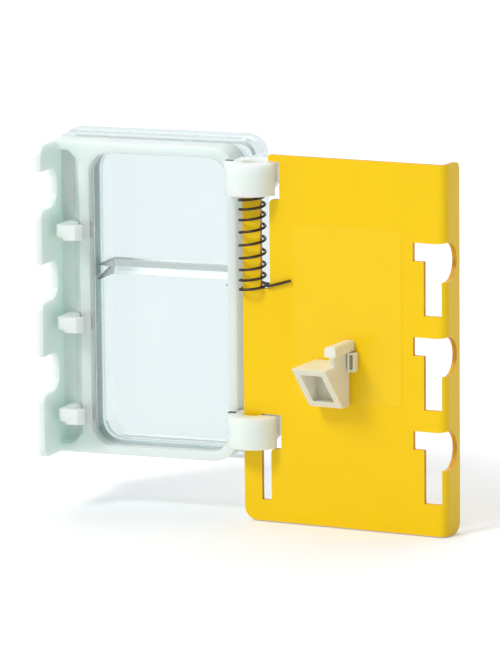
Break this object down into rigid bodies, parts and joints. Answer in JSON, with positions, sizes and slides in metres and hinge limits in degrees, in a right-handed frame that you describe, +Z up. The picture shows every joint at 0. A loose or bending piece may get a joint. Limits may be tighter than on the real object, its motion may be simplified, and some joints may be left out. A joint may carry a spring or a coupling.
{
  "type": "padlockable hinged window cover",
  "caption": "Moulded window frame with a clear cover and a hinged, sliding sheet plate that shuts over hooks and forms padlock holes.",
  "frame": {"origin": "centre of the mounting face, the rear of the clear cover's floor", "axes": "+Z up along the hinge line, +X towards the hinge side, +Y out of the mounting face, away from the user"},
  "size_m": [0.1184, 0.0396, 0.1006],
  "materials": {
    "mint_plastic": "moulded, satin, faint mint white",
    "white_plastic": "moulded, satin, white",
    "ivory_plastic": "moulded, satin, ivory",
    "clear_plastic": "clear moulded plastic, polished",
    "yellow_paint": "smooth yellow paint on sheet steel",
    "spring_steel": "dark oiled spring wire"
  },
  "bodies": {
    "frame": {"window_frame": "mint_plastic", "clear_cover": "clear_plastic", "divider_bar": "clear_plastic", "hinge_knuckle_upper": "white_plastic", "hinge_knuckle_lower": "white_plastic", "catch_hook_top": "white_plastic", "catch_hook_middle": "white_plastic", "catch_hook_bottom": "white_plastic"},
    "spring": {"return_spring": "spring_steel"},
    "cover": {"cover_plate": "yellow_paint", "socket_block": "ivory_plastic", "socket_clip": "ivory_plastic"}
  },
  "joints": [
    {"name": "cover_hinge", "type": "hinge", "parent": "frame", "child": "spring", "pos_m": [0.0322, -0.0205, -0.00025], "axis": [0, 0, -1], "range_deg": [0, 174.1], "stiffness_Nm_per_rad": 0.002, "springref_deg": -22.92},
    {"name": "cover_slide", "type": "slide", "parent": "spring", "child": "cover", "axis": [0, 0, 1], "range_m": [0, 0.014], "stiffness_N_per_m": 60, "springref_m": -0.008, "deforming": ["return_spring"]}
  ]
}
